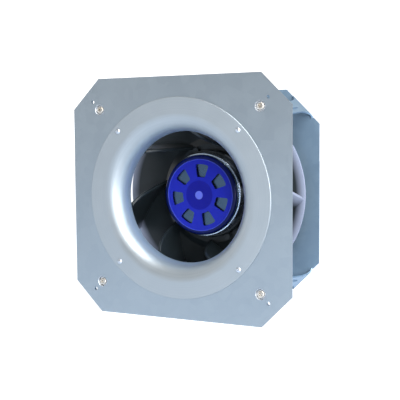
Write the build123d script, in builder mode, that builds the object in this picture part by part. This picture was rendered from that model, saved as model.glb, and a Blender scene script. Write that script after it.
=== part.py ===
from build123d import *
import math
import os

# Centrifugal fan module: a square front plate with a spun inlet ring, a backward-curved
# wheel on an external-rotor motor, and a bent rear bracket on four legs.
# All sizes are in millimetres. The fan axis is Y and the inlet faces -Y, with X to the
# right and Z up. The origin lies on the axis, in the front face of the front plate.
# A depth is a distance behind that face, and an angle runs from +X towards +Z.

# Front plate
plate_margin = 25.4
plate_chamfer = 38.4
plate_thickness = 2.0
plate_bore_gap = 4.0
corner_screw_inset = 39.35
corner_hole_offset = 10.0
dimple_radius = 6.6
dimple_floor_radius = 5.2
dimple_depth = 2.8
corner_hole_radius = 2.25

# Inlet ring
ring_sheet = 1.5
ring_flange_width = 20.6
ring_edge_rounding = 0.9
bell_reach = 21.0
throat_radius = 83.0
throat_end_depth = 28.0
throat_lip_length = 5.5
rivet_inset = 7.3
rivet_count = 4
rivet_start_angle = 45.0
rivet_body_radius = 2.0
rivet_head_radius = 3.3
rivet_head_height = 1.5
rivet_tail_radius = 2.7
rivet_tail_length = 3.0
rivet_pin_radius = 0.95
rivet_pin_recess = 1.0

# Rear bracket
bracket_sheet = 2.0
bracket_depth = 140.0
bracket_inset = 13.5
bracket_corner_setback = 2.5
bend_relief = 0.4
leg_root_inset = 29.54
leg_front_inset = 9.5
leg_width = 20.0
leg_flare_width = 40.0
leg_flare_length = 22.0
leg_bend_radius = 5.0
foot_end_margin = 7.4
foot_width = 32.0
foot_corner_radius = 8.0
foot_bend_radius = 2.5
foot_neck_length = 9.0
bead_width = 6.0
bead_height = 1.4
bead_margin = 24.0

# Corner screws and nuts
screw_hole_gap = 0.3
corner_thread_radius = 2.5
corner_screw_length = 14.0
corner_head_radius = 4.75
corner_head_height = 2.4
corner_nut_across_flats = 8.0
corner_nut_flange_radius = 5.9
corner_nut_flange_height = 1.2
corner_nut_height = 5.0

# What all the screws share: the flat crown, the brim, the point and the cross recess
screw_crown_share = 0.55
screw_brim_share = 0.4
screw_point_share = 0.3
recess_length_share = 0.9
recess_depth_share = 0.6
recess_width = 1.2

# Wheel
blade_count = 7
blade_angle = 44.0
blade_skew = 0.12
blade_phase = 112.0
blade_root_gap = 6.0
blade_nose_lean = 0.16
blade_nose_hook = 9.0
blade_nose_power = 8
blade_tip_radius = 126.0
blade_thickness = 4.6
blade_tail_thickness = 1.8
blade_stations = 6
disc_rim = 2.0
disc_thickness = 3.0
disc_setback = 5.0
hub_length = 17.0
hub_wall = 3.5
hub_gap = 0.3
hub_cone_width = 9.0
neck_gap = 2.0
neck_overlap = 8.0
neck_length = 8.0
shroud_wall = 2.2
shroud_bend_radius = 22.0
shroud_bend_angle = 75.0

# Motor rotor
rotor_radius = 54.2
rotor_wall = 2.2
rotor_nose_inset = 1.6
rotor_nose_length = 5.0
rotor_edge_rounding = 1.2
rotor_rear_gap = 5.5
rotor_flange_width = 11.8
rotor_flange_thickness = 2.5
rotor_boss_wall = 6.0
rotor_boss_length = 4.0
magnet_thickness = 4.5
magnet_overhang = 2.0
air_gap = 0.8
shaft_radius = 5.0
shaft_tail_length = 2.6
shaft_bore_gap = 0.03
circlip_thickness = 1.0
circlip_width = 3.0
circlip_opening = 4.0
circlip_play = 0.4
groove_depth = 0.4
wheel_screw_inset = 5.0
wheel_screw_count = 4
wheel_screw_start_angle = 22.0
wheel_screw_radius = 2.0
wheel_screw_length = 9.0
wheel_screw_head_radius = 3.8
wheel_screw_head_height = 2.6
wheel_boss_radius = 4.5
wheel_boss_length = 9.0
wheel_boss_end_wall = 1.5

# Motor cap
cap_edge_inset = 0.8
cap_height = 5.0
cap_wall = 1.6
cap_disc_radius = 19.0
cap_cone_drop = 1.9
cap_face_radius = 45.7
cap_bead_width = 1.2
cap_bead_height = 0.5
cap_skirt_length = 0.6
cap_window_count = 7
cap_window_phase = 84.6
cap_window_inner_radius = 23.6
cap_window_outer_radius = 40.2
cap_window_angle = 27.5
cap_window_rounding = 2.4
cap_boss_radius = 5.4
cap_boss_height = 0.8

# Motor stator
tube_wall = 3.0
tube_shoulder = 2.0
tube_end_margin = 0.6
bearing_radius = 13.0
bearing_width = 8.0
bearing_race = 2.2
bearing_shield_recess = 0.5
front_bearing_gap = 1.5
rear_bearing_setback = 7.0
core_length = 26.0
slot_count = 12
yoke_width = 8.0
tooth_width = 7.0
tooth_tip_height = 3.0
tooth_tip_angle = 24.0
insulator_thickness = 1.2
coil_width = 3.0
coil_length = 15.0
coil_overhang = 4.0
coil_front_gap = 5.1
coil_rear_gap = 2.8
flange_disc_thickness = 4.0
dish_radius = 50.0
dish_wall = 3.0
dish_rise = 1.0
ear_ring_margin = 0.5
ear_ring_thickness = 4.0
motor_screw_outset = 7.0
motor_screw_count = 4
motor_screw_start_angle = 45.0
motor_screw_radius = 2.5
motor_screw_length = 12.0
motor_screw_head_radius = 4.6
motor_screw_head_height = 3.2
motor_boss_radius = 5.5
dish_hole_gap = 0.3

# Electronics behind the motor
cover_thickness = 3.0
cover_bevel = 1.0
cover_spigot_length = 3.0
cover_spigot_wall = 1.3
cover_spigot_gap = 0.2
cover_rib_height = 5.0
cover_rib_width = 2.4
cover_rib_pitch = 8.0
cover_rib_count = 9
cover_rib_margin = 5.5
cover_screw_inset = 5.5
cover_screw_count = 4
cover_screw_start_angle = 0.0
cover_screw_radius = 1.5
cover_screw_length = 10.0
cover_screw_head_radius = 2.9
cover_screw_head_height = 2.0
cover_post_radius = 3.6
board_thickness = 1.6
board_inner_gap = 2.0
board_edge_gap = 1.4
board_post_length = 12.6
board_post_radius = 3.0
board_post_inset = 8.5
board_post_count = 3
capacitor_radius = 4.0
capacitor_length = 8.0
capacitor_gap = 1.8
capacitor_count = 3

# Cable gland, without its cable
gland_seat_recess = 0.8
gland_seat_radius = 9.5
gland_thread_radius = 6.0
gland_bore_radius = 3.2
gland_across_flats = 15.0
gland_hex_height = 4.0
gland_dome_length = 9.0
gland_dome_radius = 6.8
gland_dome_rounding = 2.0
gland_inner_reach = 1.5

os.makedirs("parts", exist_ok=True)

# Depths of the motor, from the rear plate that carries it forward to its cap
dish_end_depth = bracket_depth + dish_rise
board_depth = dish_end_depth - capacitor_gap - capacitor_length - board_thickness
dish_floor_depth = board_depth - board_post_length
flange_disc_depth = dish_floor_depth - flange_disc_thickness
rear_bearing_depth = flange_disc_depth + rear_bearing_setback
core_end_depth = flange_disc_depth - coil_rear_gap - coil_overhang - insulator_thickness
core_front_depth = core_end_depth - core_length
rotor_front_depth = core_front_depth - insulator_thickness - coil_overhang - coil_front_gap - rotor_wall
front_bearing_depth = rotor_front_depth + rotor_boss_length + front_bearing_gap
cap_top_depth = rotor_front_depth - cap_height
ear_rear_depth = bracket_depth - bracket_sheet
ear_front_depth = ear_rear_depth - ear_ring_thickness
gland_depth = (flange_disc_depth + ear_front_depth) / 2

# Depths of the wheel, seated on the flange of the rotor can behind the inlet lip
rotor_end_depth = flange_disc_depth - rotor_rear_gap
hub_seat_depth = rotor_end_depth - rotor_flange_thickness
hub_front_depth = hub_seat_depth - hub_length
disc_rear_depth = hub_seat_depth + disc_setback
disc_front_depth = disc_rear_depth - disc_thickness
neck_front_depth = throat_end_depth - neck_overlap
neck_end_depth = neck_front_depth + neck_length

# Sizes across the axis: the throat sets the ring, the ring the plate, and the plate the
# screws and the bracket
bell_mouth_radius = throat_radius + bell_reach
ring_flange_radius = bell_mouth_radius + ring_flange_width
plate_side = 2 * (ring_flange_radius + plate_margin)
corner_screw_pitch = plate_side - 2 * corner_screw_inset
bracket_half_width = plate_side / 2 - bracket_inset
leg_root_distance = bracket_half_width * math.sqrt(2) - leg_root_inset

# Radii that follow from others
tube_radius = bearing_radius + tube_wall
dish_inner_radius = dish_radius - dish_wall
motor_screw_circle_radius = dish_radius + motor_screw_outset
ear_ring_radius = motor_screw_circle_radius + motor_boss_radius + ear_ring_margin
cover_screw_circle_radius = dish_inner_radius - cover_screw_inset
board_outer_radius = cover_screw_circle_radius - cover_post_radius - board_edge_gap
board_post_circle_radius = board_outer_radius - board_post_inset
rotor_nose_radius = rotor_radius - rotor_nose_inset
rotor_flange_radius = rotor_radius + rotor_flange_width
wheel_screw_circle_radius = rotor_flange_radius - wheel_screw_inset
hub_inner_radius = rotor_radius + hub_gap
hub_outer_radius = hub_inner_radius + hub_wall
blade_root_radius = hub_outer_radius + blade_root_gap
neck_radius = throat_radius + ring_sheet + neck_gap


def seen_from_front(depth):
    """A plane across the axis at a depth, drawn as seen from the inlet side."""
    return Plane(origin=(0, depth, 0), x_dir=(1, 0, 0), z_dir=(0, -1, 0))


def round_the_axis(radius, count, start):
    """The (x, z) places of a bolt circle."""
    angles = [math.radians(start + 360 / count * step) for step in range(count)]
    return [(radius * math.cos(angle), radius * math.sin(angle)) for angle in angles]


def turn(points, place=(0, 0), mode=Mode.ADD):
    """Turns an outline of (radius, depth) points about an axis along Y through a place."""
    x, z = place
    with BuildSketch(Plane(origin=(x, 0, z))) as outline:
        with BuildLine():
            Polyline(*points, close=True)
        make_face()
    revolve(outline.sketch, axis=Axis((x, 0, z), (0, 1, 0)), mode=mode)


def posts(places, radius, depth, length, mode=Mode.ADD):
    """Round posts, or with Mode.SUBTRACT round holes, that run rearward from a depth."""
    with BuildSketch(seen_from_front(depth)) as ends:
        with Locations(*places):
            Circle(radius)
    extrude(ends.sketch, amount=-length, mode=mode)


def dimples(front, mode):
    """Presses the screw dimples into a sheet: frustums that start at its front face."""
    for place in corner_places:
        turn([(0, front), (dimple_radius, front), (dimple_floor_radius, front + dimple_depth),
              (0, front + dimple_depth)], place, mode)


def screws(places, seat, side, shank_radius, length, head_radius, head_height):
    """Pan head screws with a cross recess; the heads face the front when side is -1."""
    top = seat + side * head_height
    end = seat - side * length
    brim = seat + side * head_height * screw_brim_share
    crown = head_radius * screw_crown_share
    point = shank_radius * screw_point_share
    for x, z in places:
        with BuildSketch(Plane(origin=(x, 0, z))) as half:
            with BuildLine():
                Line((0, top), (crown, top))
                TangentArc((crown, top), (head_radius, brim), tangent=(1, 0))
                Polyline((head_radius, brim), (head_radius, seat), (shank_radius, seat),
                         (shank_radius, end + side * point), (shank_radius - point, end), (0, end), (0, top))
            make_face()
        revolve(half.sketch, axis=Axis((x, 0, z), (0, side, 0)))
    recess_length = head_radius * recess_length_share
    with BuildSketch(seen_from_front(top)) as recesses:
        with Locations(*places):
            Rectangle(recess_length, recess_width, rotation=45)
            Rectangle(recess_width, recess_length, rotation=45)
    extrude(recesses.sketch, amount=side * head_height * recess_depth_share, mode=Mode.SUBTRACT)


def square_places(half):
    """The (x, z) places at the corners of a square with a half side."""
    return [(x, z) for x in (-half, half) for z in (-half, half)]


def gland_plane():
    """The plane of the gland's seat on the dish wall, looking down."""
    return Plane(origin=(0, gland_depth, gland_seat_recess - dish_radius), x_dir=(1, 0, 0), z_dir=(0, 0, -1))


def finish(piece, label):
    """Labels a finished piece and writes it out."""
    piece.part.label = label
    export_step(piece.part, "parts/" + label + ".step")


half_pitch = corner_screw_pitch / 2
corner_places = square_places(half_pitch)
half_hole_pitch = half_pitch + corner_hole_offset
hole_places = square_places(half_hole_pitch)
screw_hole_radius = corner_thread_radius + screw_hole_gap
rivet_places = round_the_axis(ring_flange_radius - rivet_inset, rivet_count, rivet_start_angle)
wheel_screw_places = round_the_axis(wheel_screw_circle_radius, wheel_screw_count, wheel_screw_start_angle)
motor_screw_places = round_the_axis(motor_screw_circle_radius, motor_screw_count, motor_screw_start_angle)
cover_screw_places = round_the_axis(cover_screw_circle_radius, cover_screw_count, cover_screw_start_angle)


# Front plate: galvanised sheet with cut corners, a bore for the inlet ring and a
# pressed dimple at each corner screw.
with BuildPart() as front_plate:
    with BuildSketch(seen_from_front(0)) as plate_outline:
        Rectangle(plate_side, plate_side)
        chamfer(plate_outline.vertices(), plate_chamfer)
        Circle(bell_mouth_radius + plate_bore_gap, mode=Mode.SUBTRACT)
    extrude(amount=-plate_thickness)
    dimples(plate_thickness, Mode.ADD)
    dimples(0, Mode.SUBTRACT)
    posts(corner_places, screw_hole_radius, 0, plate_thickness + dimple_depth, Mode.SUBTRACT)
    posts(hole_places, corner_hole_radius, 0, plate_thickness, Mode.SUBTRACT)
    posts(rivet_places, rivet_body_radius, 0, plate_thickness, Mode.SUBTRACT)
finish(front_plate, "front_plate")


# Inlet ring: one spun sheet, a flat flange that turns through a quarter ellipse into
# the throat and ends in a short straight lip.
with BuildPart() as inlet_ring:
    bell_depth = throat_end_depth - throat_lip_length
    lip_radius = throat_radius + ring_sheet
    with BuildSketch(Plane.XY) as ring_section:
        with BuildLine():
            EllipticalCenterArc((bell_mouth_radius, bell_depth), bell_reach, bell_depth + ring_sheet,
                                start_angle=180, arc_size=90)
            EllipticalCenterArc((bell_mouth_radius, bell_depth), bell_reach - ring_sheet, bell_depth,
                                start_angle=180, arc_size=90)
            Polyline((bell_mouth_radius, -ring_sheet), (ring_flange_radius, -ring_sheet),
                     (ring_flange_radius, 0), (bell_mouth_radius, 0))
            Polyline((throat_radius, bell_depth), (throat_radius, throat_end_depth),
                     (lip_radius, throat_end_depth), (lip_radius, bell_depth))
        make_face()
    revolve(axis=Axis.Y)
    front_edges = inlet_ring.edges().filter_by(GeomType.CIRCLE).group_by(Axis.Y)[0]
    fillet(front_edges.sort_by(SortBy.RADIUS)[-1], ring_edge_rounding)
    posts(rivet_places, rivet_body_radius, -ring_sheet, ring_sheet, Mode.SUBTRACT)
finish(inlet_ring, "inlet_ring")


# Blind rivets: a domed head on the ring, a body through both sheets, a bulged tail, and
# the broken pin sunk in the head.
with BuildPart() as inlet_ring_rivets:
    head_top = -ring_sheet - rivet_head_height
    pin_top = head_top + rivet_pin_recess
    tail_end = plate_thickness + rivet_tail_length
    for x, z in rivet_places:
        with BuildSketch(Plane(origin=(x, 0, z))):
            with BuildLine():
                Polyline((0, pin_top), (rivet_pin_radius, pin_top), (rivet_pin_radius, head_top))
                TangentArc((rivet_pin_radius, head_top), (rivet_head_radius, -ring_sheet), tangent=(1, 0))
                Polyline((rivet_head_radius, -ring_sheet), (rivet_body_radius, -ring_sheet),
                         (rivet_body_radius, plate_thickness), (rivet_tail_radius, plate_thickness))
                TangentArc((rivet_tail_radius, plate_thickness), (rivet_pin_radius, tail_end), tangent=(0, 1))
                Polyline((rivet_pin_radius, tail_end), (0, tail_end), (0, pin_top))
            make_face()
        revolve(axis=Axis((x, 0, z), (0, 1, 0)))
finish(inlet_ring_rivets, "inlet_ring_rivets")


# One leg of the rear bracket. Its section lies in the diagonal plane as (distance from
# the axis, depth): the strip leaves the rear plate in a bend, runs forward and inward,
# and turns out into the foot behind the front plate.
with BuildPart() as bracket_leg:
    half_sheet = bracket_sheet / 2
    rear_line = bracket_depth - half_sheet
    foot_line = plate_thickness + half_sheet
    root_line = leg_root_distance - half_sheet
    front_line = half_pitch * math.sqrt(2) - leg_front_inset - half_sheet
    foot_end_distance = half_hole_pitch * math.sqrt(2) + foot_end_margin
    leg_run = Vector(root_line - front_line, rear_line - foot_line)
    bend_start = root_line - leg_bend_radius
    with BuildSketch(Plane(origin=(0, 0, 0), x_dir=(1, 0, 1), z_dir=(-1, 0, 1))):
        with BuildLine() as leg_line:
            leg_middle = (root_line - leg_run.X / 2, rear_line - leg_run.Y / 2)
            FilletPolyline((bend_start - leg_bend_radius, rear_line), (root_line, rear_line), leg_middle,
                           radius=leg_bend_radius)
            FilletPolyline(leg_middle, (front_line, foot_line), (foot_end_distance, foot_line),
                           radius=foot_bend_radius)
        trace(leg_line.line, bracket_sheet)
    extrude(amount=leg_flare_width / 2, both=True)
    with BuildSketch(Plane(origin=(0, 0, 0), x_dir=(1, 0, -1), z_dir=(1, 0, 1))) as leg_outline:
        flare_start = bracket_depth - bracket_sheet - leg_flare_length
        flare_end = flare_start + leg_flare_length
        neck_start = plate_thickness + bracket_sheet + foot_bend_radius
        neck_end = neck_start + foot_neck_length
        with BuildLine():
            Polyline((0, 0), (foot_width / 2, 0), (foot_width / 2, neck_start))
            TangentArc((leg_width / 2, neck_end), (foot_width / 2, neck_start), tangent=(0, -1))
            Line((leg_width / 2, neck_end), (leg_width / 2, flare_start))
            TangentArc((leg_width / 2, flare_start), (leg_flare_width / 2, flare_end), tangent=(0, 1))
            Polyline((leg_flare_width / 2, flare_end), (leg_flare_width / 2, bracket_depth + bracket_sheet),
                     (0, bracket_depth + bracket_sheet), (0, 0))
        make_face()
        mirror(about=Plane.YZ)
    extrude(leg_outline.sketch, amount=foot_end_distance, mode=Mode.INTERSECT)
    foot_ends = bracket_leg.edges().filter_by(Axis.Y).sort_by(Axis((0, 0, 0), (1, 0, 1)))[-2:]
    fillet(foot_ends, foot_corner_radius)
    face_middle = (root_line + front_line) / 2 * math.sqrt(0.5)
    outward = Vector(leg_run.Y * math.sqrt(0.5), -leg_run.X, leg_run.Y * math.sqrt(0.5)).normalized()
    leg_centre = Vector(face_middle, (rear_line + foot_line) / 2, face_middle)
    bead_length = leg_run.length - 2 * bead_margin
    inner_face = Plane(origin=leg_centre - outward * half_sheet, x_dir=(1, 0, -1), z_dir=outward)
    outer_face = Plane(origin=leg_centre + outward * half_sheet, x_dir=(1, 0, -1), z_dir=outward)
    with BuildSketch(inner_face) as bead_back:
        SlotOverall(bead_length - bracket_sheet, bead_width - bracket_sheet, rotation=90)
    with BuildSketch(outer_face) as bead_face:
        SlotOverall(bead_length, bead_width, rotation=90)
    extrude(bead_face.sketch, amount=bead_height)
    extrude(bead_back.sketch, amount=bead_height, mode=Mode.SUBTRACT)


# Rear bracket: the octagonal rear plate with the four legs bent out of it, the opening
# for the electronics dish and the motor screw holes.
with BuildPart() as rear_bracket:
    bracket_corner_distance = leg_root_distance - bracket_corner_setback
    corner_cut = 2 * bracket_half_width - bracket_corner_distance * math.sqrt(2)
    relief_width = leg_flare_width + 2 * bend_relief
    with BuildSketch(seen_from_front(ear_rear_depth)) as rear_outline:
        Rectangle(2 * bracket_half_width, 2 * bracket_half_width)
        chamfer(rear_outline.vertices(), corner_cut)
        Circle(dish_radius + dish_hole_gap, mode=Mode.SUBTRACT)
        with PolarLocations(bend_start, 4, start_angle=45):
            Rectangle(bracket_corner_distance, relief_width, align=(Align.MIN, Align.CENTER),
                      mode=Mode.SUBTRACT)
    extrude(amount=-bracket_sheet)
    for step in range(4):
        add(bracket_leg.part.rotate(Axis.Y, 90 * step))
    dimples(plate_thickness + bracket_sheet, Mode.ADD)
    dimples(plate_thickness, Mode.SUBTRACT)
    posts(corner_places, screw_hole_radius, plate_thickness, bracket_sheet + dimple_depth, Mode.SUBTRACT)
    posts(hole_places, corner_hole_radius, plate_thickness, bracket_sheet, Mode.SUBTRACT)
    posts(motor_screw_places, motor_screw_radius + screw_hole_gap, ear_rear_depth, bracket_sheet,
          Mode.SUBTRACT)
finish(rear_bracket, "rear_bracket")


# Corner screws: pan heads sunk in the dimples of the front plate.
with BuildPart() as corner_screws:
    screws(corner_places, dimple_depth, -1, corner_thread_radius, corner_screw_length,
           corner_head_radius, corner_head_height)
finish(corner_screws, "corner_screws")


# Corner nuts: flange nuts behind the dimples of the bracket feet.
with BuildPart() as corner_nuts:
    nut_seat = plate_thickness + bracket_sheet + dimple_depth
    flange_top = nut_seat + corner_nut_flange_height
    nut_top = nut_seat + corner_nut_height
    with BuildSketch(seen_from_front(nut_seat)):
        with Locations(*corner_places):
            RegularPolygon(corner_nut_across_flats / 2, 6, major_radius=False)
    extrude(amount=-corner_nut_height)
    for place in corner_places:
        turn([(0, nut_seat), (corner_nut_flange_radius, nut_seat), (corner_nut_flange_radius, flange_top),
              (corner_nut_across_flats / 2, flange_top + corner_nut_flange_height / 2), (0, nut_top)], place)
    posts(corner_places, corner_thread_radius, nut_seat, corner_nut_height, Mode.SUBTRACT)
finish(corner_nuts, "corner_nuts")


# Wheel: hub, back disc and backward-curved blades, moulded in one piece. A blade is a
# logarithmic spiral that winds on towards the shroud, with its nose reaching forward
# into the inlet.
blade_height = disc_front_depth - neck_end_depth


def shroud_face(offset):
    """The straight and bent run of a shroud face that lies an offset outside the flow face."""
    centre = neck_radius + shroud_bend_radius
    reach = shroud_bend_radius - offset
    angles = [math.radians(180 - shroud_bend_angle * part) for part in (0, 0.5, 1)]
    bend = [(centre + reach * math.cos(angle), neck_end_depth + reach * math.sin(angle)) for angle in angles]
    slope = math.tan(math.radians(90 - shroud_bend_angle))
    rim = (blade_tip_radius, bend[2][1] + (blade_tip_radius - bend[2][0]) * slope)
    return bend + [rim]


def on_blade(radius, depth, offset, ahead=0):
    """A point of the blade section at a depth, moved off its middle line and along it."""
    spiral = math.log(radius / blade_root_radius) / math.tan(math.radians(blade_angle))
    angle = math.radians(blade_phase + blade_skew * (disc_front_depth - depth)) + spiral
    along = angle + math.radians(90 - blade_angle)
    across = along + math.radians(90)
    return (radius * math.cos(angle) + offset * math.cos(across) + ahead * math.cos(along),
            radius * math.sin(angle) + offset * math.sin(across) + ahead * math.sin(along))


def blade_section(depth):
    """The outline of a blade at a depth: a round nose, two curved sides and a blunt tail."""
    height = disc_front_depth - depth
    nose = blade_root_radius + blade_nose_lean * height
    nose = nose + blade_nose_hook * max(0, height / blade_height) ** blade_nose_power
    tail = blade_tip_radius + blade_thickness
    stations = [part / blade_stations for part in range(blade_stations + 1)]
    thinning = blade_tail_thickness - blade_thickness
    half = [(blade_thickness + thinning * part) / 2 for part in stations]
    radii = [nose + (tail - nose) * part for part in stations]
    upper = [on_blade(radius, depth, offset) for radius, offset in zip(radii, half)]
    lower = [on_blade(radius, depth, -offset) for radius, offset in zip(radii, half)]
    with BuildSketch(seen_from_front(depth)) as section:
        with BuildLine():
            Spline(*upper)
            Line(upper[-1], lower[-1])
            Spline(*lower)
            ThreePointArc(lower[0], on_blade(nose, depth, 0, -half[0]), upper[0])
        make_face()
    return section.sketch


with BuildPart() as blade:
    section_heights = [0, 0.3, 0.6, 0.8, 0.9, 0.98]
    rooted_depth = disc_rear_depth - disc_thickness / 2
    hub_rooted_depth = hub_seat_depth - disc_thickness / 2
    step_radius = rotor_flange_radius + hub_gap
    section_depths = [disc_front_depth - blade_height * part for part in section_heights]
    loft([blade_section(depth) for depth in [rooted_depth] + section_depths])
    with BuildSketch(Plane.XY):
        with BuildLine():
            flow = shroud_face(0)
            ThreePointArc(flow[0], flow[1], flow[2])
            Polyline(flow[2], flow[3], (blade_tip_radius, rooted_depth),
                     (step_radius + hub_cone_width, rooted_depth), (step_radius, hub_rooted_depth),
                     (hub_outer_radius, hub_rooted_depth), (hub_outer_radius, neck_end_depth), flow[0])
        make_face()
    revolve(axis=Axis.Y, mode=Mode.INTERSECT)

with BuildPart() as impeller_wheel:
    seat_front_depth = hub_seat_depth - disc_thickness
    disc_radius = blade_tip_radius + disc_rim
    with BuildSketch(Plane.XY) as hub_outline:
        with BuildLine():
            Polyline((hub_inner_radius, hub_front_depth), (hub_outer_radius, hub_front_depth),
                     (hub_outer_radius, seat_front_depth), (step_radius, seat_front_depth),
                     (step_radius + hub_cone_width, disc_front_depth), (disc_radius, disc_front_depth),
                     (disc_radius, disc_rear_depth), (step_radius + disc_thickness, disc_rear_depth),
                     (step_radius, hub_seat_depth), (hub_inner_radius, hub_seat_depth), close=True)
        make_face()
    revolve(axis=Axis.Y)
    hub_rim = impeller_wheel.edges().filter_by(GeomType.CIRCLE).group_by(Axis.Y)[0].sort_by(SortBy.RADIUS)[-1]
    fillet(hub_rim, hub_wall / 2)
    posts(wheel_screw_places, wheel_boss_radius, hub_seat_depth - wheel_boss_length, wheel_boss_length)
    for step in range(blade_count):
        add(blade.part.rotate(Axis.Y, 360 / blade_count * step))
    screw_hole_length = wheel_boss_length - wheel_boss_end_wall
    posts(wheel_screw_places, wheel_screw_radius, hub_seat_depth - screw_hole_length, screw_hole_length,
          Mode.SUBTRACT)
    posts([(0, 0)], hub_inner_radius, hub_front_depth - wheel_boss_length, blade_height, Mode.SUBTRACT)
finish(impeller_wheel, "impeller_wheel")


# Wheel shroud: a short neck that runs around the lip of the inlet ring, a bend and a
# cone on which the blades end.
with BuildPart() as impeller_shroud:
    inside = shroud_face(0)
    outside = shroud_face(shroud_wall)
    with BuildSketch(Plane.XY):
        with BuildLine():
            Line((neck_radius, neck_front_depth), inside[0])
            ThreePointArc(inside[0], inside[1], inside[2])
            Polyline(inside[2], inside[3], outside[3], outside[2])
            ThreePointArc(outside[2], outside[1], outside[0])
            Polyline(outside[0], (neck_radius + shroud_wall, neck_front_depth),
                     (neck_radius, neck_front_depth))
        make_face()
    revolve(axis=Axis.Y)
finish(impeller_shroud, "impeller_shroud")


# Rotor can: a drawn steel cup with a stepped nose, an outward flange at its open end
# and a boss in which the shaft is pressed.
with BuildPart() as rotor_can:
    can_inner_radius = rotor_radius - rotor_wall
    nose_end_depth = rotor_front_depth + rotor_nose_length
    nose_inner_radius = rotor_nose_radius - rotor_wall
    wall_depth = rotor_front_depth + rotor_wall
    boss_radius = shaft_radius + rotor_boss_wall
    boss_end_depth = rotor_front_depth + rotor_boss_length
    turn([(shaft_radius, rotor_front_depth), (rotor_nose_radius, rotor_front_depth),
          (rotor_nose_radius, nose_end_depth), (rotor_radius, nose_end_depth), (rotor_radius, hub_seat_depth),
          (rotor_flange_radius, hub_seat_depth), (rotor_flange_radius, rotor_end_depth),
          (can_inner_radius, rotor_end_depth), (can_inner_radius, nose_end_depth + rotor_wall),
          (nose_inner_radius, nose_end_depth + rotor_wall), (nose_inner_radius, wall_depth),
          (boss_radius, wall_depth), (boss_radius, boss_end_depth), (shaft_radius, boss_end_depth)])
    can_circles = rotor_can.edges().filter_by(GeomType.CIRCLE)
    nose_rim = can_circles.group_by(Axis.Y)[0].sort_by(SortBy.RADIUS)[-1]
    wide_rims = can_circles.filter_by(lambda circle: abs(circle.radius - rotor_radius) < rotor_nose_inset / 2)
    fillet([nose_rim, wide_rims.sort_by(Axis.Y)[0]], rotor_edge_rounding)
    posts(wheel_screw_places, wheel_screw_radius + screw_hole_gap, hub_seat_depth, rotor_flange_thickness,
          Mode.SUBTRACT)
finish(rotor_can, "rotor_can")


# Magnet ring: one bonded ring inside the rotor can.
with BuildPart() as magnet_ring:
    magnet_radius = can_inner_radius - magnet_thickness
    magnet_front_depth = core_front_depth - magnet_overhang
    turn([(magnet_radius, magnet_front_depth), (can_inner_radius, magnet_front_depth),
          (can_inner_radius, core_end_depth), (magnet_radius, core_end_depth)])
finish(magnet_ring, "magnet_ring")


# Rotor shaft: pressed in the can, with a groove for the circlip behind the rear bearing.
with BuildPart() as rotor_shaft:
    circlip_depth = rear_bearing_depth + bearing_width + circlip_play
    groove_end_depth = circlip_depth + circlip_thickness
    shaft_rear_depth = groove_end_depth + shaft_tail_length
    groove_radius = shaft_radius - groove_depth
    turn([(0, rotor_front_depth), (shaft_radius, rotor_front_depth), (shaft_radius, circlip_depth),
          (groove_radius, circlip_depth), (groove_radius, groove_end_depth), (shaft_radius, groove_end_depth),
          (shaft_radius, shaft_rear_depth), (0, shaft_rear_depth)])
    chamfer(rotor_shaft.faces().sort_by(Axis.Y)[-1].edges(), groove_depth)
finish(rotor_shaft, "rotor_shaft")


# Circlip: an open ring in the shaft groove.
with BuildPart() as shaft_circlip:
    with BuildSketch(seen_from_front(circlip_depth)):
        Circle(shaft_radius + circlip_width)
        Circle(groove_radius, mode=Mode.SUBTRACT)
        Rectangle(shaft_radius + circlip_width, circlip_opening, align=(Align.MIN, Align.CENTER),
                  mode=Mode.SUBTRACT)
    extrude(amount=-circlip_thickness)
finish(shaft_circlip, "shaft_circlip")


# Motor cap: a moulded cap on the front of the rotor can. From its flat middle the face
# falls as a shallow cone to a fine bead, and a round edge turns down to the can.
with BuildPart() as motor_cap:
    cap_radius = rotor_nose_radius - cap_edge_inset
    face_end_depth = cap_top_depth + cap_cone_drop
    skirt_depth = rotor_front_depth - cap_skirt_length
    edge_start = cap_face_radius + cap_bead_width
    rim_radius = cap_face_radius - cap_wall
    with BuildSketch(Plane.XY) as cap_section:
        with BuildLine():
            Polyline((0, cap_top_depth), (cap_disc_radius, cap_top_depth), (cap_face_radius, face_end_depth))
            ThreePointArc((cap_face_radius, face_end_depth),
                          (cap_face_radius + cap_bead_width / 2, face_end_depth - cap_bead_height),
                          (edge_start, face_end_depth))
            EllipticalCenterArc((edge_start, skirt_depth), cap_radius - edge_start,
                                skirt_depth - face_end_depth, start_angle=270, arc_size=90)
            Polyline((cap_radius, skirt_depth), (cap_radius, rotor_front_depth), (rim_radius, rotor_front_depth),
                     (rim_radius, face_end_depth + cap_wall), (cap_disc_radius, cap_top_depth + cap_wall),
                     (0, cap_top_depth + cap_wall), (0, cap_top_depth))
        make_face()
    revolve(axis=Axis.Y)
    posts([(0, 0)], cap_boss_radius, cap_top_depth - cap_boss_height, cap_boss_height)
    with BuildSketch(seen_from_front(cap_top_depth)) as windows:
        window_angles = [cap_window_phase + 360 / cap_window_count * step for step in range(cap_window_count)]
        for angle in window_angles:
            sides = [math.radians(angle + side * cap_window_angle / 2) for side in (-1, 0, 1)]
            inner, outer = [[(radius * math.cos(side), radius * math.sin(side)) for side in sides]
                            for radius in (cap_window_inner_radius, cap_window_outer_radius)]
            with BuildLine():
                ThreePointArc(*inner)
                Line(inner[2], outer[2])
                ThreePointArc(*outer)
                Line(outer[0], inner[0])
            make_face()
        fillet(windows.vertices(), cap_window_rounding)
    extrude(amount=-cap_height, mode=Mode.SUBTRACT)
finish(motor_cap, "motor_cap")


# Wheel screws: from the rear through the can's flange into the bosses of the wheel.
with BuildPart() as impeller_screws:
    screws(wheel_screw_places, rotor_end_depth, 1, wheel_screw_radius, wheel_screw_length,
           wheel_screw_head_radius, wheel_screw_head_height)
finish(impeller_screws, "impeller_screws")


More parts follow.
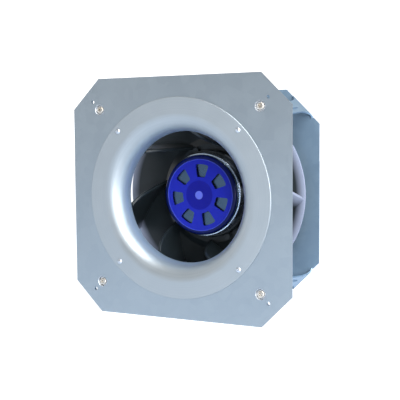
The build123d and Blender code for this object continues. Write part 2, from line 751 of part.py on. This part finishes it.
# Motor flange: die-cast bearing tube, disc, electronics dish and the ring that is
# screwed against the rear plate.
with BuildPart() as motor_flange:
    tube_front_depth = front_bearing_depth - tube_end_margin
    tube_rear_depth = rear_bearing_depth + bearing_width + tube_end_margin
    front_seat_end = front_bearing_depth + bearing_width
    tube_bore_radius = bearing_radius - tube_shoulder
    turn([(bearing_radius, tube_front_depth), (tube_radius, tube_front_depth),
          (tube_radius, flange_disc_depth), (dish_radius, flange_disc_depth), (dish_radius, ear_front_depth),
          (ear_ring_radius, ear_front_depth), (ear_ring_radius, ear_rear_depth), (dish_radius, ear_rear_depth),
          (dish_radius, dish_end_depth), (dish_inner_radius, dish_end_depth),
          (dish_inner_radius, dish_floor_depth), (tube_radius, dish_floor_depth),
          (tube_radius, tube_rear_depth), (bearing_radius, tube_rear_depth),
          (bearing_radius, rear_bearing_depth), (tube_bore_radius, rear_bearing_depth),
          (tube_bore_radius, front_seat_end), (bearing_radius, front_seat_end)])
    motor_boss_depth = bracket_depth - motor_screw_length
    cover_screw_depth = dish_end_depth + cover_thickness - cover_screw_length
    post_length = dish_end_depth - dish_floor_depth
    motor_boss_length = ear_rear_depth - motor_boss_depth
    cover_hole_length = dish_end_depth - cover_screw_depth
    board_post_places = round_the_axis(board_post_circle_radius, board_post_count, 30)
    posts(motor_screw_places, motor_boss_radius, motor_boss_depth, motor_boss_length)
    posts(cover_screw_places, cover_post_radius, dish_floor_depth, post_length)
    posts(board_post_places, board_post_radius, dish_floor_depth, board_depth - dish_floor_depth)
    posts(motor_screw_places, motor_screw_radius, motor_boss_depth, motor_boss_length, Mode.SUBTRACT)
    posts(cover_screw_places, cover_screw_radius, cover_screw_depth, cover_hole_length, Mode.SUBTRACT)
    with BuildSketch(gland_plane()) as gland_seat:
        Circle(gland_seat_radius)
    extrude(gland_seat.sketch, amount=gland_seat_recess, mode=Mode.SUBTRACT)
    with BuildSketch(gland_plane()) as gland_hole:
        Circle(gland_thread_radius)
    extrude(gland_hole.sketch, amount=-2 * dish_wall, mode=Mode.SUBTRACT)
finish(motor_flange, "motor_flange")


def core_outline(depth):
    """The stator lamination as seen from the front: yoke, teeth and tooth tips."""
    core_radius = magnet_radius - air_gap
    with BuildSketch(seen_from_front(depth)) as lamination:
        Circle(core_radius)
        Circle(core_radius - tooth_tip_height, mode=Mode.SUBTRACT)
        with PolarLocations(0, slot_count, start_angle=180 / slot_count):
            Rectangle(2 * core_radius, core_radius * math.radians(360 / slot_count - tooth_tip_angle),
                      align=(Align.MIN, Align.CENTER), mode=Mode.SUBTRACT)
        with PolarLocations(0, slot_count):
            Rectangle(core_radius - tooth_tip_height / 2, tooth_width, align=(Align.MIN, Align.CENTER))
        Circle(tube_radius + yoke_width)
        Circle(tube_radius, mode=Mode.SUBTRACT)
    return lamination.sketch


# Stator core: the lamination stack on the bearing tube.
with BuildPart() as stator_core:
    extrude(core_outline(core_front_depth), amount=-core_length)
finish(stator_core, "stator_core")


# End insulators: one moulded sheet on each end of the core.
with BuildPart() as stator_insulators:
    extrude(core_outline(core_front_depth), amount=insulator_thickness)
    extrude(core_outline(core_end_depth), amount=-insulator_thickness)
finish(stator_insulators, "stator_insulators")


# Stator windings: one coil round each tooth, over the insulators.
with BuildPart() as stator_windings:
    former_depth = core_front_depth - insulator_thickness
    former_length = core_length + 2 * insulator_thickness
    tip_radius = magnet_radius - air_gap - tooth_tip_height
    coil_middle = math.sqrt(tip_radius ** 2 - (tooth_width / 2 + coil_width) ** 2) - coil_length / 2
    with BuildSketch(seen_from_front(former_depth - coil_overhang)) as coil_ends:
        with PolarLocations(coil_middle, slot_count):
            Rectangle(coil_length, tooth_width + 2 * coil_width)
    extrude(coil_ends.sketch, amount=-former_length - 2 * coil_overhang)
    with BuildSketch(seen_from_front(former_depth)) as formers:
        with PolarLocations(coil_middle, slot_count):
            Rectangle(2 * coil_length, tooth_width)
    extrude(formers.sketch, amount=-former_length, mode=Mode.SUBTRACT)
finish(stator_windings, "stator_windings")


def bearing(depth):
    """A shielded ball bearing as one ring with its shields sunk between the races."""
    end = depth + bearing_width
    inner_race = shaft_radius + bearing_race
    outer_race = bearing_radius - bearing_race
    bore_radius = shaft_radius + shaft_bore_gap
    shield_front = depth + bearing_shield_recess
    shield_rear = end - bearing_shield_recess
    turn([(bore_radius, depth), (inner_race, depth), (inner_race, shield_front), (outer_race, shield_front),
          (outer_race, depth), (bearing_radius, depth), (bearing_radius, end), (outer_race, end),
          (outer_race, shield_rear), (inner_race, shield_rear), (inner_race, end), (bore_radius, end)])


# Bearings: one in each end of the tube.
with BuildPart() as front_bearing:
    bearing(front_bearing_depth)
finish(front_bearing, "front_bearing")

with BuildPart() as rear_bearing:
    bearing(rear_bearing_depth)
finish(rear_bearing, "rear_bearing")


# Control board: a ring-shaped board round the bearing tube, with its capacitors.
with BuildPart() as control_board:
    capacitor_places = round_the_axis(board_post_circle_radius, capacitor_count, 90)
    with BuildSketch(seen_from_front(board_depth)):
        Circle(board_outer_radius)
        Circle(tube_radius + board_inner_gap, mode=Mode.SUBTRACT)
    extrude(amount=-board_thickness)
    posts(capacitor_places, capacitor_radius, board_depth + board_thickness, capacitor_length)
finish(control_board, "control_board")


# Electronics cover: a lid on the dish with a spigot inside it and cooling ribs outside.
with BuildPart() as electronics_cover:
    cover_end_depth = dish_end_depth + cover_thickness
    spigot_radius = dish_inner_radius - cover_spigot_gap
    turn([(0, dish_end_depth), (spigot_radius - cover_spigot_wall, dish_end_depth),
          (spigot_radius - cover_spigot_wall, dish_end_depth - cover_spigot_length),
          (spigot_radius, dish_end_depth - cover_spigot_length), (spigot_radius, dish_end_depth),
          (dish_radius, dish_end_depth), (dish_radius, cover_end_depth - cover_bevel),
          (dish_radius - cover_bevel, cover_end_depth), (0, cover_end_depth)])
    rib_field_radius = cover_screw_circle_radius - cover_rib_margin
    with BuildSketch(seen_from_front(cover_end_depth)) as ribs:
        with GridLocations(cover_rib_pitch, 0, cover_rib_count, 1):
            Rectangle(cover_rib_width, 2 * rib_field_radius)
        Circle(rib_field_radius, mode=Mode.INTERSECT)
    extrude(ribs.sketch, amount=-cover_rib_height)
    posts(cover_screw_places, cover_screw_radius + screw_hole_gap, dish_end_depth, cover_thickness,
          Mode.SUBTRACT)
finish(electronics_cover, "electronics_cover")


# Motor screws: through the rear plate into the bosses of the motor flange.
with BuildPart() as motor_screws:
    screws(motor_screw_places, bracket_depth, 1, motor_screw_radius, motor_screw_length,
           motor_screw_head_radius, motor_screw_head_height)
finish(motor_screws, "motor_screws")


# Cover screws: through the cover into the posts of the dish.
with BuildPart() as cover_screws:
    screws(cover_screw_places, cover_end_depth, 1, cover_screw_radius, cover_screw_length,
           cover_screw_head_radius, cover_screw_head_height)
finish(cover_screws, "cover_screws")


# Cable gland: screwed in the dish wall and pointing down, open for a cable.
with BuildPart() as cable_gland:
    gland_length = gland_hex_height + gland_dome_length
    thread_length = dish_wall - gland_seat_recess + gland_inner_reach
    with BuildSketch(gland_plane()) as gland_hex:
        RegularPolygon(gland_across_flats / 2, 6, major_radius=False)
    extrude(gland_hex.sketch, amount=gland_hex_height)
    with BuildSketch(gland_plane()) as gland_dome:
        Circle(gland_dome_radius)
    extrude(gland_dome.sketch, amount=gland_length)
    fillet(cable_gland.edges().sort_by(Axis.Z)[0], gland_dome_rounding)
    with BuildSketch(gland_plane()) as gland_thread:
        Circle(gland_thread_radius)
    extrude(gland_thread.sketch, amount=-thread_length)
    with BuildSketch(gland_plane()) as gland_bore:
        Circle(gland_bore_radius)
    extrude(gland_bore.sketch, amount=gland_length, both=True, mode=Mode.SUBTRACT)
finish(cable_gland, "cable_gland")
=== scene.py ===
import bpy
import math
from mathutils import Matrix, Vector


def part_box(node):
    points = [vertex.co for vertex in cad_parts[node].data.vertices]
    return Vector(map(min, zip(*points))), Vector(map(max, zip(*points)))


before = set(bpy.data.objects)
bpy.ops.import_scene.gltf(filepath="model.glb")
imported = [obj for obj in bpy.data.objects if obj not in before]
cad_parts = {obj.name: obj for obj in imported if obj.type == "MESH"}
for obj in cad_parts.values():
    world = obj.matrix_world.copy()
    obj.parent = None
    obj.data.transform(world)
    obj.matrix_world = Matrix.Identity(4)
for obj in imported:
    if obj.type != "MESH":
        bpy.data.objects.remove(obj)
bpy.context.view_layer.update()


# Front plate. A square of hot-dip galvanised steel sheet, 2 mm thick, punched and pressed.
# The zinc is bluish grey and half matt, with faint crystals a centimetre across. The rolling
# marks are drawn wider than they are, to show, and the dimples carry a painted highlight.
def linear(hex_colour):
    """A linear RGBA colour from an sRGB hex string."""
    parts = [int(hex_colour[start:start + 2], 16) / 255 for start in (1, 3, 5)]
    return [part / 12.92 if part <= 0.04045 else ((part + 0.055) / 1.055) ** 2.4 for part in parts] + [1.0]


def node(tree, kind, settings=None, **links):
    """Adds a node. A keyword is an input's name, or i and its number, and gives it a value,
    another node's output, or another node, which stands for its first output."""
    made = tree.nodes.new(kind)
    for name, value in (settings or {}).items():
        setattr(made, name, value)
    for name, value in links.items():
        socket = made.inputs[int(name[1:]) if name[1:].isdigit() else name.replace("_", " ")]
        if isinstance(value, bpy.types.Node):
            value = value.outputs[0]
        if isinstance(value, bpy.types.NodeSocket):
            tree.links.new(value, socket)
        else:
            socket.default_value = value
    return made


def new_material(name):
    """A material with an empty node tree, and the tree."""
    material = bpy.data.materials.new(name)
    material.use_nodes = True
    material.node_tree.nodes.clear()
    return material, material.node_tree


def shade(tree, **links):
    """The shader of a finish, joined to the material's output."""
    shader = node(tree, "ShaderNodeBsdfPrincipled", **links)
    node(tree, "ShaderNodeOutputMaterial", Surface=shader)


def dress(slot, material, *names):
    """Gives a finish to CAD nodes. The slot of the record that it stands for is not used."""
    for name in names:
        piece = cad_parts[name]
        piece.data.materials.clear()
        piece.data.materials.append(material)


def axis_distance(tree, corner=0.0):
    """The distance in metres from the fan axis, or from the nearest of four places that lie
    as far out as a corner, both across and up."""
    place = node(tree, "ShaderNodeTexCoord").outputs["Object"]
    quarter = node(tree, "ShaderNodeVectorMath", {"operation": "ABSOLUTE"}, i0=place)
    offset = node(tree, "ShaderNodeVectorMath", {"operation": "SUBTRACT"}, i0=quarter, i1=(corner, 0, corner))
    across = node(tree, "ShaderNodeVectorMath", {"operation": "MULTIPLY"}, i0=offset, i1=(1, 0, 1))
    return node(tree, "ShaderNodeVectorMath", {"operation": "LENGTH"}, i0=across).outputs["Value"]


colour_mix = {"data_type": "RGBA"}


def turned(tree, length, edge, width, before, after):
    """A colour that turns to another where a length in metres passes an edge of a width."""
    start, end = edge - width / 2, edge + width / 2
    share = node(tree, "ShaderNodeMapRange", Value=length, From_Min=start, From_Max=end)
    return node(tree, "ShaderNodeMix", colour_mix, i0=share, i6=before, i7=after).outputs[2]


skin_relief = 0.0002


def galvanised(name, dull, bright, crystal, metallic, roughness, painted_dimple_highlight=None):
    """Galvanised sheet with zinc crystals of a size in metres. A painted highlight in its dimples
    has a tone, a distance from the axis, both across and up, and a radius."""
    mark_width, mark_length = 0.0012, 0.08
    clouds_per_crystal = 0.12
    crystal_tone, crystal_gloss = 0.3, 0.5
    highlight_edge = 0.0006
    material, tree = new_material(name)
    place = node(tree, "ShaderNodeTexCoord").outputs["Object"]
    cells = node(tree, "ShaderNodeTexVoronoi", Vector=place, Scale=1 / crystal, Randomness=1.0)
    zinc = node(tree, "ShaderNodeSeparateColor", Color=cells.outputs["Color"])
    cloud = node(tree, "ShaderNodeTexNoise", Vector=place, Scale=clouds_per_crystal / crystal, Detail=3.0)
    stretch = (1 / mark_width, 1 / mark_width, 1 / mark_length)
    rolled = node(tree, "ShaderNodeMapping", Vector=place, Scale=stretch)
    marks = node(tree, "ShaderNodeTexNoise", Vector=rolled, Scale=1.0, Detail=2.0)
    blotch = node(tree, "ShaderNodeMath", {"operation": "MULTIPLY_ADD"}, i0=zinc, i1=crystal_tone, i2=cloud)
    share = node(tree, "ShaderNodeMapRange", Value=blotch, To_Min=-0.2, To_Max=0.9)
    colour = node(tree, "ShaderNodeMix", colour_mix, i0=share, i6=linear(dull), i7=linear(bright)).outputs[2]
    # The dimples round the corner screws are painted paler: a painted highlight.
    if painted_dimple_highlight:
        tone, corner, radius = painted_dimple_highlight
        colour = turned(tree, axis_distance(tree, corner), radius, highlight_edge, linear(tone), colour)
    uneven = node(tree, "ShaderNodeMath", {"operation": "MULTIPLY_ADD"}, i0=zinc, i1=crystal_gloss, i2=marks)
    gloss = node(tree, "ShaderNodeMapRange", Value=uneven, To_Min=roughness - 0.02, To_Max=roughness + 0.04)
    bump = node(tree, "ShaderNodeBump", Strength=0.05, Distance=skin_relief, Height=marks)
    shade(tree, Base_Color=colour, Metallic=metallic, Roughness=gloss, Normal=bump)
    return material


screw_head_radius = 0.00475
dimple_radius = 0.0066
dimple_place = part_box("corner_screws")[1].x - screw_head_radius
# The pale tone of the dimples is a painted highlight.
plate_zinc = galvanised("galvanised plate", "#939DA4", "#9EA7AD", crystal=0.011, metallic=1.0, roughness=0.36,
                        painted_dimple_highlight=("#DCE2EA", dimple_place, dimple_radius))
dress("galvanised_plate", plate_zinc, "front_plate")


# Inlet ring. Spun from 1.5 mm galvanised sheet on a lathe and riveted to the plate. The
# roller leaves a smooth, brighter skin with fine rings round the axis. Deeper in, its throat
# is painted paler and bluer: a painted reflection.
def mottled(tree, fine, coarse, weight):
    """A share made of a fine pattern, which has a weight, and a coarse one."""
    rest = node(tree, "ShaderNodeMapRange", Value=coarse, To_Min=0, To_Max=1 - weight)
    return node(tree, "ShaderNodeMath", {"operation": "MULTIPLY_ADD"}, i0=fine, i1=weight, i2=rest)


def spun(name, dull, bright, ring, roughness, metallic=1.0, painted_tones_by_depth=None):
    """Metal spun or turned on the fan axis, with rings of a width in metres, wider than the
    real ones, to show. Deeper in, it may turn to other tones, at a depth and over a width,
    which are painted light and shade."""
    cloud_size = 0.03
    material, tree = new_material(name)
    place = node(tree, "ShaderNodeTexCoord").outputs["Object"]
    depth = node(tree, "ShaderNodeSeparateXYZ", Vector=place).outputs["Y"]
    along = node(tree, "ShaderNodeMath", {"operation": "ADD"}, i0=axis_distance(tree), i1=depth)
    rings = node(tree, "ShaderNodeTexNoise", {"noise_dimensions": "1D"}, W=along, Scale=1 / ring, Detail=3.0)
    cloud = node(tree, "ShaderNodeTexNoise", Vector=place, Scale=1 / cloud_size, Detail=3.0)
    share = mottled(tree, rings, cloud, weight=0.5)
    colour = node(tree, "ShaderNodeMix", colour_mix, i0=share, i6=linear(dull), i7=linear(bright)).outputs[2]
    if painted_tones_by_depth:
        first, second, edge, width = painted_tones_by_depth
        inner = node(tree, "ShaderNodeMix", colour_mix, i0=share, i6=linear(first), i7=linear(second))
        colour = turned(tree, depth, edge, width, colour, inner.outputs[2])
    gloss = node(tree, "ShaderNodeMapRange", Value=cloud, To_Min=roughness - 0.05, To_Max=roughness + 0.07)
    bump = node(tree, "ShaderNodeBump", Strength=0.12, Distance=skin_relief, Height=rings)
    shade(tree, Base_Color=colour, Metallic=metallic, Roughness=gloss, Normal=bump)
    return material


# The throat's paler, bluer tone is a painted reflection.
throat_start, throat_fade = 0.012, 0.014
ring_zinc = spun("spun galvanised ring", "#949DA3", "#A4ABB0", ring=0.0012, roughness=0.42, metallic=0.75,
                 painted_tones_by_depth=("#A4BCD0", "#B2CADE", throat_start, throat_fade))
dress("galvanised_ring", ring_zinc, "inlet_ring")


# Rivets. Aluminium blind rivets with domed heads, set from the front through the ring's
# flange and the plate, each with the hole of its pin in the middle. They are bright and satin.
def cast_metal(name, dull, bright, grain, roughness):
    """Unpolished metal with an even grain of a size in metres, coarser than it is, to show."""
    clouds_per_grain = 0.1
    material, tree = new_material(name)
    place = node(tree, "ShaderNodeTexCoord").outputs["Object"]
    speck = node(tree, "ShaderNodeTexNoise", Vector=place, Scale=1 / grain, Detail=4.0)
    cloud = node(tree, "ShaderNodeTexNoise", Vector=place, Scale=clouds_per_grain / grain, Detail=2.0)
    share = mottled(tree, speck, cloud, weight=0.5)
    colour = node(tree, "ShaderNodeMix", colour_mix, i0=share, i6=linear(dull), i7=linear(bright)).outputs[2]
    gloss = node(tree, "ShaderNodeMapRange", Value=speck, To_Min=roughness - 0.06, To_Max=roughness + 0.08)
    bump = node(tree, "ShaderNodeBump", Strength=0.25, Distance=skin_relief, Height=speck)
    shade(tree, Base_Color=colour, Metallic=1.0, Roughness=gloss, Normal=bump)
    return material


rivet_aluminium = cast_metal("rivet aluminium", "#A8AEB6", "#D0D6DC", grain=0.0015, roughness=0.32)
dress("rivet_metal", rivet_aluminium, "inlet_ring_rivets")


# Rear bracket. One blank of 2 mm galvanised sheet: the legs are bent out of its corners and
# their feet lie behind the front plate. It stands in the plate's shade, and its bluer tone is painted shade.
# The bracket's bluer zinc is painted shade.
bracket_zinc = galvanised("galvanised bracket", "#809AB1", "#8EA7BC", crystal=0.009, metallic=0.7,
                          roughness=0.4)
dress("galvanised_bracket", bracket_zinc, "rear_bracket")


# Corner screws and nuts. Zinc-plated steel pan heads sunk in the pressed dimples, with
# flange nuts behind the feet. The plating has gone warm and a little dull. The screws of
# the motor, the cover and the wheel are of the same kind.
screw_zinc = cast_metal("zinc-plated screw steel", "#A8A196", "#D6CFC4", grain=0.001, roughness=0.3)
dress("screw_steel", screw_zinc, "corner_screws", "corner_nuts", "motor_screws", "cover_screws",
      "impeller_screws")


# Motor flange and electronics cover. Die-cast aluminium, shot-blasted, with an even grain
# and no polish. The flange is screwed against the bracket, and the cover on its dish.
die_cast = cast_metal("die-cast aluminium", "#8C9096", "#AEB2B8", grain=0.0012, roughness=0.5)
dress("cast_aluminium", die_cast, "motor_flange", "electronics_cover")


# Stator. A stack of 0.5 mm silicon-steel laminations between ivory nylon insulators, wound
# with enamelled copper wire. Sheets and wires show as fine lines across the stack.
def stacked(name, dull, bright, sheet):
    """Layered metal with sheets of a thickness in metres, along the fan axis."""
    band_at_scale_one = 0.314
    material, tree = new_material(name)
    place = node(tree, "ShaderNodeTexCoord").outputs["Object"]
    sheets = node(tree, "ShaderNodeTexWave", {"wave_type": "BANDS", "bands_direction": "Y"}, Vector=place,
                  Scale=band_at_scale_one / sheet, Distortion=0.2).outputs["Fac"]
    colour = node(tree, "ShaderNodeMix", colour_mix, i0=sheets, i6=linear(dull), i7=linear(bright)).outputs[2]
    bump = node(tree, "ShaderNodeBump", Strength=0.3, Distance=skin_relief / 2, Height=sheets)
    shade(tree, Base_Color=colour, Metallic=1.0, Roughness=0.48, Normal=bump)
    return material


def moulded(name, dull, bright, grain, roughness, relief, gloss=0.5, zones=()):
    """Moulded plastic with a grain of a size in metres, coarser than it is, to show. Zones
    are tones that it turns to on the way out from the axis, each with a radius and a width."""
    cloud_size = 0.025
    material, tree = new_material(name)
    place = node(tree, "ShaderNodeTexCoord").outputs["Object"]
    speck = node(tree, "ShaderNodeTexNoise", Vector=place, Scale=1 / grain, Detail=3.0)
    cloud = node(tree, "ShaderNodeTexNoise", Vector=place, Scale=1 / cloud_size, Detail=3.0)
    share = mottled(tree, speck, cloud, weight=0.4)
    colour = node(tree, "ShaderNodeMix", colour_mix, i0=share, i6=linear(dull), i7=linear(bright)).outputs[2]
    for tone, edge, width in zones:
        colour = turned(tree, axis_distance(tree), edge, width, colour, linear(tone))
    skin = node(tree, "ShaderNodeMapRange", Value=cloud, To_Min=roughness - 0.05, To_Max=roughness + 0.05)
    bump = node(tree, "ShaderNodeBump", Strength=relief, Distance=skin_relief, Height=speck)
    shade(tree, Base_Color=colour, Specular_IOR_Level=gloss, Roughness=skin, Normal=bump)
    return material


lamination_steel = stacked("stacked laminations", "#3C3C40", "#707076", sheet=0.0005)
insulator_nylon = moulded("insulator nylon", "#CFC9B6", "#DED9C8", grain=0.001, roughness=0.45, relief=0.1)
copper_wire = stacked("enamelled copper wire", "#7C3C18", "#C06C34", sheet=0.0008)
dress("lamination_steel", lamination_steel, "stator_core")
dress("insulator_plastic", insulator_nylon, "stator_insulators")
dress("copper_wire", copper_wire, "stator_windings")


# Bearings and shaft. Bearing steel, ground and polished, with fine turning rings. The
# bearings are pressed in the flange's tube, and a circlip keeps the shaft in them.
bearing_steel = spun("ground bearing steel", "#9498A0", "#C0C4CA", ring=0.0006, roughness=0.2)
dress("bearing_steel", bearing_steel, "front_bearing", "rear_bearing")
shaft_steel = spun("ground shaft steel", "#84888E", "#ACB0B6", ring=0.0006, roughness=0.24)
dress("shaft_steel", shaft_steel, "rotor_shaft", "shaft_circlip")


# Control board. Glass-fibre laminate under green solder lacquer, on three posts in the
# flange's dish. The lacquer is a little glossy, and the weave just shows.
board_lacquer = moulded("green board laminate", "#0E4424", "#1A6034", grain=0.0009, roughness=0.3,
                        relief=0.15)
dress("board_laminate", board_lacquer, "control_board")


# Cable gland. Black moulded nylon, screwed in the wall of the flange's dish and pointing
# down. It is satin, with a fine grain.
gland_nylon = moulded("gland nylon", "#141416", "#222226", grain=0.0008, roughness=0.42, relief=0.2)
dress("gland_plastic", gland_nylon, "cable_gland")


# Rotor can and magnet. The can is deep-drawn steel, bright and smooth round its side. Its
# front, under the cap, is painted dark: painted shade. The magnet ring in it is dark bonded ferrite.
can_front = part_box("rotor_can")[0].y
can_edge = 0.0012
# The dark tone on the can's front is painted shade under the cap.
can_steel = spun("drawn can steel", "#384A5C", "#4C6074", ring=0.001, roughness=0.26,
                 painted_tones_by_depth=("#B4C4D8", "#DCE8F4", can_front + can_edge, can_edge))
dress("rotor_steel", can_steel, "rotor_can")
ferrite = moulded("bonded ferrite", "#222224", "#34343A", grain=0.0008, roughness=0.6, relief=0.3)
dress("magnet_material", ferrite, "magnet_ring")


# Wheel and shroud. Glass-filled nylon, moulded nearly black and screwed to the rotor can.
# The skin is satin with a faint mottle of fibres. The shroud is painted paler, and a band at
# the outer rim paler still: painted light.
wheel_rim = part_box("impeller_wheel")[1].x
painted_rim_band = 0.012
# The pale band at the outer rim is painted light.
painted_light_rim = [("#929BB2", wheel_rim - painted_rim_band / 2, painted_rim_band)]
wheel_nylon = moulded("glass-filled nylon", "#13191C", "#20292E", grain=0.0012, roughness=0.42, relief=0.15,
                      gloss=0.4, zones=painted_light_rim)
# The shroud's paler nylon is painted light.
shroud_nylon = moulded("glass-filled nylon of the shroud", "#59656E", "#66727B", grain=0.0012, roughness=0.38,
                       relief=0.15, zones=painted_light_rim)
dress("wheel_plastic", wheel_nylon, "impeller_wheel")
dress("wheel_plastic", shroud_nylon, "impeller_shroud")


# Motor cap. Blue moulded ABS, clipped over the front of the rotor can, smooth and a little
# glossy, with rounded edges. The boss in its middle is paler and the disc round it darker. A
# thin raised bead is painted paler, a painted highlight, and outside it the turned-down edge
# is painted nearly navy, a painted reflection of the dark wheel.
boss_radius = 0.0054
disc_radius = 0.019
bead_radius = 0.0457
bead_width = 0.0012
sharp_edge, soft_edge = 0.0004, 0.001
# The bead's paler tone is a painted highlight, and the navy edge a painted reflection.
cap_zones = [("#080F84", boss_radius, sharp_edge), ("#1521A0", disc_radius, soft_edge),
             ("#3645B4", bead_radius, sharp_edge), ("#06124A", bead_radius + bead_width, sharp_edge)]
cap_plastic = moulded("blue ABS cap", "#5562CC", "#5F6CD4", grain=0.0009, roughness=0.24, relief=0.06,
                      gloss=0.15, zones=cap_zones)
dress("cap_plastic", cap_plastic, "motor_cap")
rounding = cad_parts["motor_cap"].modifiers.new("edge", "BEVEL")
rounding.width = sharp_edge
rounding.segments = 2
rounding.limit_method = "ANGLE"
rounding.angle_limit = math.radians(40)


# Studio floor. Pale matt paper under the lowest edge of the fan. The camera and reflections
# see it white, and it keeps the fan's soft shadow.
floor_half = 6.0
paper_glow = 0.9
floor_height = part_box("front_plate")[0].z
corners = [(x * floor_half, y * floor_half, floor_height) for x, y in ((-1, -1), (1, -1), (1, 1), (-1, 1))]
floor_mesh = bpy.data.meshes.new("floor")
floor_mesh.from_pydata(corners, [], [(0, 1, 2, 3)])
floor = bpy.data.objects.new("floor", floor_mesh)
bpy.context.scene.collection.objects.link(floor)
floor_paper, tree = new_material("studio paper")
ray = node(tree, "ShaderNodeLightPath").outputs
paper = node(tree, "ShaderNodeBsdfDiffuse", Color=linear("#A8AEB6"))
tint = node(tree, "ShaderNodeMix", colour_mix, i0=ray["Is Camera Ray"], i6=linear("#DCEBFF"),
            i7=linear("#FFFFFF")).outputs[2]
glow = node(tree, "ShaderNodeEmission", Color=tint, Strength=paper_glow)
lit_paper = node(tree, "ShaderNodeAddShader", i0=paper, i1=glow)
seen = node(tree, "ShaderNodeMath", {"operation": "MAXIMUM"}, i0=ray["Is Camera Ray"],
            i1=ray["Is Glossy Ray"])
seen = node(tree, "ShaderNodeMath", {"operation": "MAXIMUM"}, i0=seen, i1=ray["Is Transmission Ray"])
floor_mix = node(tree, "ShaderNodeMixShader", i0=seen, i1=paper, i2=lit_paper)
node(tree, "ShaderNodeOutputMaterial", Surface=floor_mix)
floor_mesh.materials.append(floor_paper)


# Studio light. A pale surround, which the camera sees white, is dimmer overhead, in front
# and on the right. A large softbox at the right lights the curl of the ring and the space
# behind the plate, with a high one, a small key light and a weak low one.
world = bpy.data.worlds.new("studio")
bpy.context.scene.world = world
world.use_nodes = True
tree = world.node_tree
tree.nodes.clear()
brighter_side = (-0.9, 0.5, 0)
ray = node(tree, "ShaderNodeLightPath").outputs
direction = node(tree, "ShaderNodeTexCoord").outputs["Generated"]
height = node(tree, "ShaderNodeSeparateXYZ", Vector=direction).outputs["Z"]
level = node(tree, "ShaderNodeMapRange", Value=height, From_Min=-0.05, From_Max=0.6, To_Min=0.92,
             To_Max=0.46)
side = node(tree, "ShaderNodeVectorMath", {"operation": "DOT_PRODUCT"}, i0=direction,
            i1=brighter_side).outputs["Value"]
surround = node(tree, "ShaderNodeMath", {"operation": "MULTIPLY_ADD"}, i0=level, i1=side, i2=level)
strength = node(tree, "ShaderNodeMath", {"operation": "MAXIMUM"}, i0=ray["Is Camera Ray"], i1=surround)
backdrop = node(tree, "ShaderNodeBackground", Color=linear("#FFFFFF"), Strength=strength)
node(tree, "ShaderNodeOutputWorld", Surface=backdrop)


def softbox(name, place, width, height, power, aim=(0, 0, 0)):
    """A rectangular studio light at a place, aimed at a point."""
    light = bpy.data.lights.new(name, "AREA")
    light.shape = "RECTANGLE"
    light.size = width
    light.size_y = height
    light.energy = power
    lamp = bpy.data.objects.new(name, light)
    lamp.location = place
    lamp.rotation_euler = (Vector(aim) - Vector(place)).to_track_quat("-Z", "Y").to_euler()
    bpy.context.scene.collection.objects.link(lamp)


softbox("side softbox", place=(1.5, -0.5, 0.1), width=1.0, height=1.6, power=30)
softbox("high softbox", place=(0.75, -0.7, 1.5), width=0.9, height=0.9, power=34)
softbox("key softbox", place=(1.1, -1.5, 1.0), width=0.5, height=0.5, power=16)
softbox("low softbox", place=(0.75, -0.9, -0.02), width=0.4, height=0.2, power=5.5, aim=(0, 0, 0.03))


# Camera. The photograph's viewpoint, worked out from the corners, screws and rivets of
# the front plate: to the right of the fan and close to it, a little above its axis.
picture_width = 400
focal_length = 831
camera_turn = [math.radians(angle) for angle in (85.5808, 0.4548, 26.5419)]
lens = bpy.data.cameras.new("photo view")
lens.sensor_width = 36
lens.lens = lens.sensor_width * focal_length / picture_width
lens.clip_start = 0.05
lens.clip_end = 50
camera = bpy.data.objects.new("photo view", lens)
camera.location = (0.48098, -0.89769, 0.07666)
camera.rotation_euler = camera_turn
bpy.context.scene.collection.objects.link(camera)
bpy.context.scene.camera = camera
bpy.context.scene.view_settings.view_transform = "Standard"
